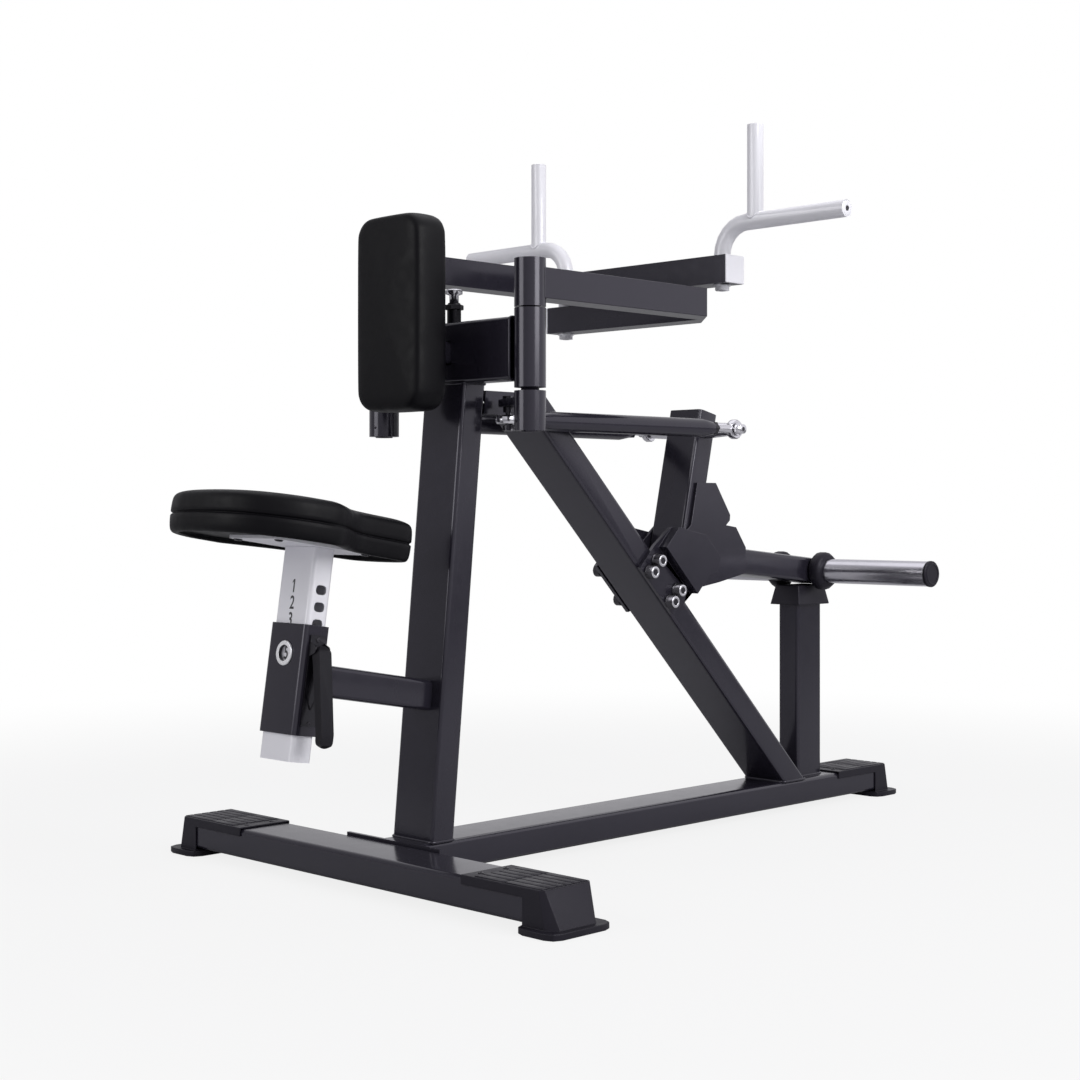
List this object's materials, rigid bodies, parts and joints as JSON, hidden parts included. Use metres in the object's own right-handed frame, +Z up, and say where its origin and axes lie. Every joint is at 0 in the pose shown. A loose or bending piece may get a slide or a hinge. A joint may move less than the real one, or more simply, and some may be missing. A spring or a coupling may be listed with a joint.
{
  "type": "seated row machine",
  "caption": "Plate-loaded seated row machine: tube frame, crossed swinging arms with handles, rocker with weight horns, tie rods, height-adjustable seat and sliding chest pad.",
  "frame": {"origin": "on the floor, under the middle of the whole machine", "axes": "+X the way the seated user faces, along the base beam; +Y the user's left; +Z up"},
  "size_m": [1.7483, 0.964, 1.2844],
  "materials": {
    "frame_black": "satin powder coat",
    "black_rubber": "matte moulded",
    "silver_paint": "metallic paint",
    "chrome": "polished",
    "upholstery": "matte grained vinyl",
    "black_plastic": "satin moulded"
  },
  "bodies": {
    "frame": {"front_cross_beam": "frame_black", "base_beam": "frame_black", "end_cap_rear": "black_rubber", "end_cap_left": "black_rubber", "end_cap_right": "black_rubber", "main_upright": "frame_black", "diagonal_beam": "frame_black", "top_brace": "frame_black", "rear_stop_post": "frame_black", "stop_cap": "black_rubber", "pivot_bracket": "frame_black", "post_sleeve_right": "frame_black", "post_sleeve_left": "frame_black", "pull_pin_boss": "black_plastic", "bearing_bracket_right": "frame_black", "bearing_bracket_left": "frame_black", "pivot_shaft": "chrome", "bracket_bolt_1": "frame_black", "bracket_bolt_2": "frame_black", "bracket_bolt_3": "frame_black", "bracket_bolt_4": "frame_black", "seat_arm_tube": "frame_black", "seat_sleeve": "frame_black", "window_ring": "chrome", "lever_base": "frame_black"},
    "right_arm": {"arm_post_right": "frame_black", "arm_tube_right": "frame_black", "arm_plug_right": "silver_paint", "handle_left": "silver_paint", "crank_right": "frame_black", "crank_bolt_right": "frame_black"},
    "left_arm": {"arm_post_left": "frame_black", "arm_tube_left": "frame_black", "arm_plug_left": "silver_paint", "handle_right": "silver_paint", "crank_left": "frame_black", "crank_bolt_left": "frame_black"},
    "rocker": {"rocker_tube": "frame_black", "rocker_hub": "frame_black", "rod_axle": "chrome", "horn_arm": "frame_black", "horn_bar": "chrome", "horn_collar_right": "black_rubber", "horn_collar_left": "black_rubber", "horn_cap_right": "black_rubber", "horn_cap_left": "black_rubber"},
    "right_rod": {"tie_rod_right": "frame_black", "rear_eye_right": "chrome", "front_eye_right": "chrome"},
    "left_rod": {"tie_rod_left": "frame_black", "rear_eye_left": "chrome", "front_eye_left": "chrome"},
    "seat": {"seat_post": "silver_paint", "seat_plate": "silver_paint", "seat_cushion": "upholstery"},
    "seat_lever": {"seat_lever": "black_plastic"},
    "lock_pin": {"lock_pin": "chrome"},
    "chest": {"chest_carriage": "frame_black", "chest_pad": "upholstery"},
    "pull_pin": {"chest_pull_pin": "chrome"}
  },
  "joints": [
    {"name": "rocker_swing", "type": "hinge", "parent": "frame", "child": "rocker", "pos_m": [0.204, 0, 0.507], "axis": [0, -1, 0], "range_deg": [0, 19]},
    {"name": "right_arm_swing", "type": "hinge", "parent": "frame", "child": "right_arm", "pos_m": [-0.3535, -0.182, 0.95], "axis": [0, 0, 1], "range_deg": [0, 46]},
    {"name": "left_arm_swing", "type": "hinge", "parent": "frame", "child": "left_arm", "pos_m": [-0.3535, 0.182, 1], "axis": [0, 0, 1], "range_deg": [-46, 0]},
    {"name": "right_rod_tilt", "type": "hinge", "parent": "rocker", "child": "right_rod", "pos_m": [0.2608, -0.107, 0.757], "axis": [0, -1, 0], "range_deg": [-19, 0]},
    {"name": "left_rod_tilt", "type": "hinge", "parent": "rocker", "child": "left_rod", "pos_m": [0.2608, 0.107, 0.757], "axis": [0, -1, 0], "range_deg": [-19, 0]},
    {"name": "seat_height", "type": "slide", "parent": "frame", "child": "seat", "axis": [0.1478, 0, 0.989], "range_m": [-0.106, 0]},
    {"name": "seat_lever_pull", "type": "hinge", "parent": "frame", "child": "seat_lever", "pos_m": [-0.6819, -0.056, 0.3912], "axis": [-0.989, 0, 0.1478], "range_deg": [0, 18], "stiffness_Nm_per_rad": 2},
    {"name": "lock_pin_slide", "type": "slide", "parent": "frame", "child": "lock_pin", "axis": [0, -1, 0], "range_m": [0, 0.0055]},
    {"name": "chest_slide", "type": "slide", "parent": "frame", "child": "chest", "axis": [-1, 0, 0], "range_m": [-0.018, 0.045]},
    {"name": "chest_pull_pin_lift", "type": "slide", "parent": "frame", "child": "pull_pin", "axis": [0, 0, 1], "range_m": [0, 0.01], "stiffness_N_per_m": 500}
  ],
  "couplings": [
    {"joint": "right_arm_swing", "follows": "rocker_swing", "ratio": 2.381},
    {"joint": "left_arm_swing", "follows": "rocker_swing", "ratio": -2.381},
    {"joint": "right_rod_tilt", "follows": "rocker_swing", "ratio": -0.974},
    {"joint": "left_rod_tilt", "follows": "rocker_swing", "ratio": -0.974},
    {"joint": "lock_pin_slide", "follows": "seat_lever_pull", "m_per_rad": 0.0143}
  ]
}
